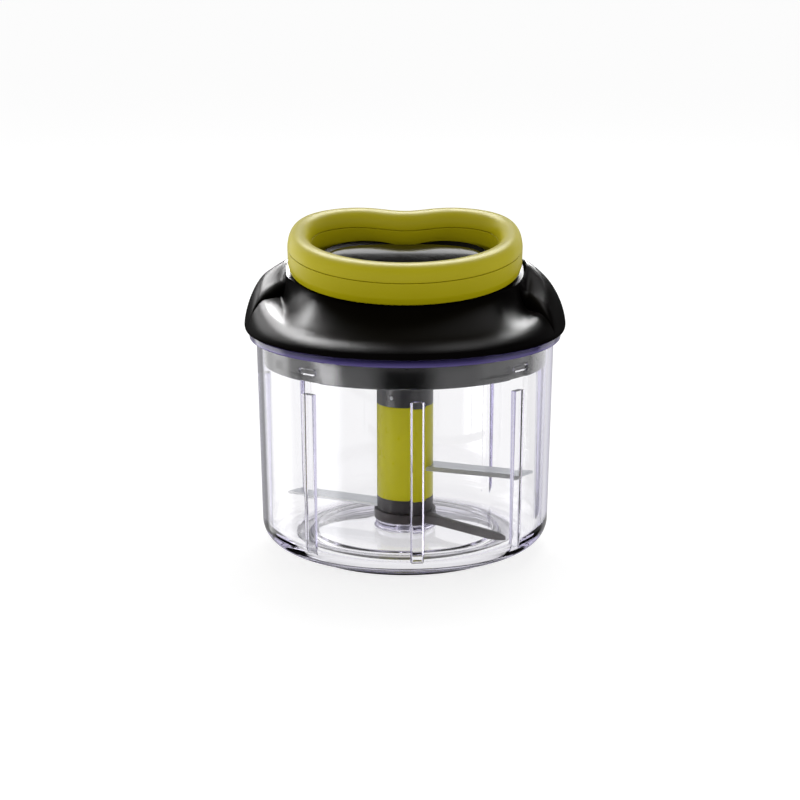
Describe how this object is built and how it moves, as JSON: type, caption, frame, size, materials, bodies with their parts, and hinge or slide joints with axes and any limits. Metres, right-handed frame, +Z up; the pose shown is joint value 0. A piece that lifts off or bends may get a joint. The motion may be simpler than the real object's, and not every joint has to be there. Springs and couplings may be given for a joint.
{
  "type": "manual food chopper",
  "caption": "Pull-cord food chopper: clear round bowl with a blade shaft, a domed gloss lid that locks by a bayonet, and a ring handle that pulls a sprung cord to spin the blades.",
  "frame": {"origin": "centre of the bowl's foot, on the surface it stands on", "axes": "+Z up along the blade shaft, -Y towards the low front of the handle ring, +X to the user's right"},
  "size_m": [0.137, 0.137, 0.144],
  "materials": {
    "clear_plastic": "clear moulded plastic with a faint violet edge tint",
    "foot_rubber": "matt soft rubber",
    "steel": "turned and polished",
    "blade_steel": "satin with a bright ground edge",
    "seal_rubber": "soft rubber",
    "lid_black": "high gloss black",
    "badge_black": "high gloss black, bare",
    "skirt_black": "semi gloss charcoal",
    "shaft_plastic": "satin charcoal",
    "green_plastic": "satin olive lime",
    "sleeve_green": "satin olive lime",
    "inner_plastic": "natural plastic",
    "inner_dark": "grey plastic",
    "spring_steel": "blued spring steel",
    "cord": "braided cord"
  },
  "bodies": {
    "bowl": {"bowl": "clear_plastic", "base_ring": "foot_rubber", "pivot_pin": "steel"},
    "seal": {"lid_seal": "seal_rubber"},
    "lid": {"lid_base": "skirt_black", "lid_cover": "lid_black", "badge_plate": "badge_black", "bearing_plate": "inner_dark", "plate_screws": "steel", "cord_eyelet": "steel", "cord_lead": "cord", "recoil_spring": "spring_steel"},
    "drum": {"cord_drum": "inner_plastic", "cord_winding": "cord", "pawl_pins": "steel"},
    "front_pawl": {"front_pawl": "inner_dark"},
    "rear_pawl": {"rear_pawl": "inner_dark"},
    "hub": {"drive_hub": "shaft_plastic", "hub_clip": "steel"},
    "blade": {"shaft_core": "shaft_plastic", "shaft_cap": "shaft_plastic", "cap_pin": "steel", "blade_sleeve": "sleeve_green", "blade_collar": "shaft_plastic", "upper_blade": "blade_steel", "lower_blade": "blade_steel", "scraper_arm": "shaft_plastic", "pivot_bush": "inner_plastic"},
    "handle": {"handle_top": "green_plastic", "handle_bottom": "green_plastic", "cord_knot": "cord"}
  },
  "joints": [
    {"name": "lid_lift", "type": "slide", "parent": "bowl", "child": "seal", "axis": [0, 0, 1], "range_m": [0, 0.16]},
    {"name": "lid_turn", "type": "hinge", "parent": "seal", "child": "lid", "pos_m": [0, 0, 0.096], "axis": [0, 0, 1], "range_deg": [0, 15]},
    {"name": "handle_pull", "type": "slide", "parent": "lid", "child": "handle", "axis": [0, -0.2385, 0.9711], "range_m": [0, 0.3], "stiffness_N_per_m": 15, "springref_m": -0.1},
    {"name": "drum_spin", "type": "hinge", "parent": "lid", "child": "drum", "pos_m": [0, 0, 0.098], "axis": [0, 0, 1], "continuous": true},
    {"name": "hub_spin", "type": "hinge", "parent": "lid", "child": "hub", "pos_m": [0, 0, 0.088], "axis": [0, 0, 1], "continuous": true},
    {"name": "blade_spin", "type": "hinge", "parent": "bowl", "child": "blade", "pos_m": [0, 0, 0.04], "axis": [0, 0, 1], "continuous": true},
    {"name": "rear_pawl_swing", "type": "hinge", "parent": "drum", "child": "rear_pawl", "pos_m": [-0.0145, 0.0145, 0.0895], "axis": [0, 0, 1], "range_deg": [0, 15], "stiffness_Nm_per_rad": 0.002, "springref_deg": -11.46},
    {"name": "front_pawl_swing", "type": "hinge", "parent": "drum", "child": "front_pawl", "pos_m": [0.0145, -0.0145, 0.0895], "axis": [0, 0, 1], "range_deg": [0, 15], "stiffness_Nm_per_rad": 0.002, "springref_deg": -11.46}
  ],
  "couplings": [
    {"joint": "drum_spin", "follows": "handle_pull", "rad_per_m": -36},
    {"joint": "hub_spin", "follows": "handle_pull", "rad_per_m": -36},
    {"joint": "blade_spin", "follows": "handle_pull", "rad_per_m": -36},
    {"joint": "front_pawl_swing", "follows": "rear_pawl_swing", "ratio": 1}
  ]
}
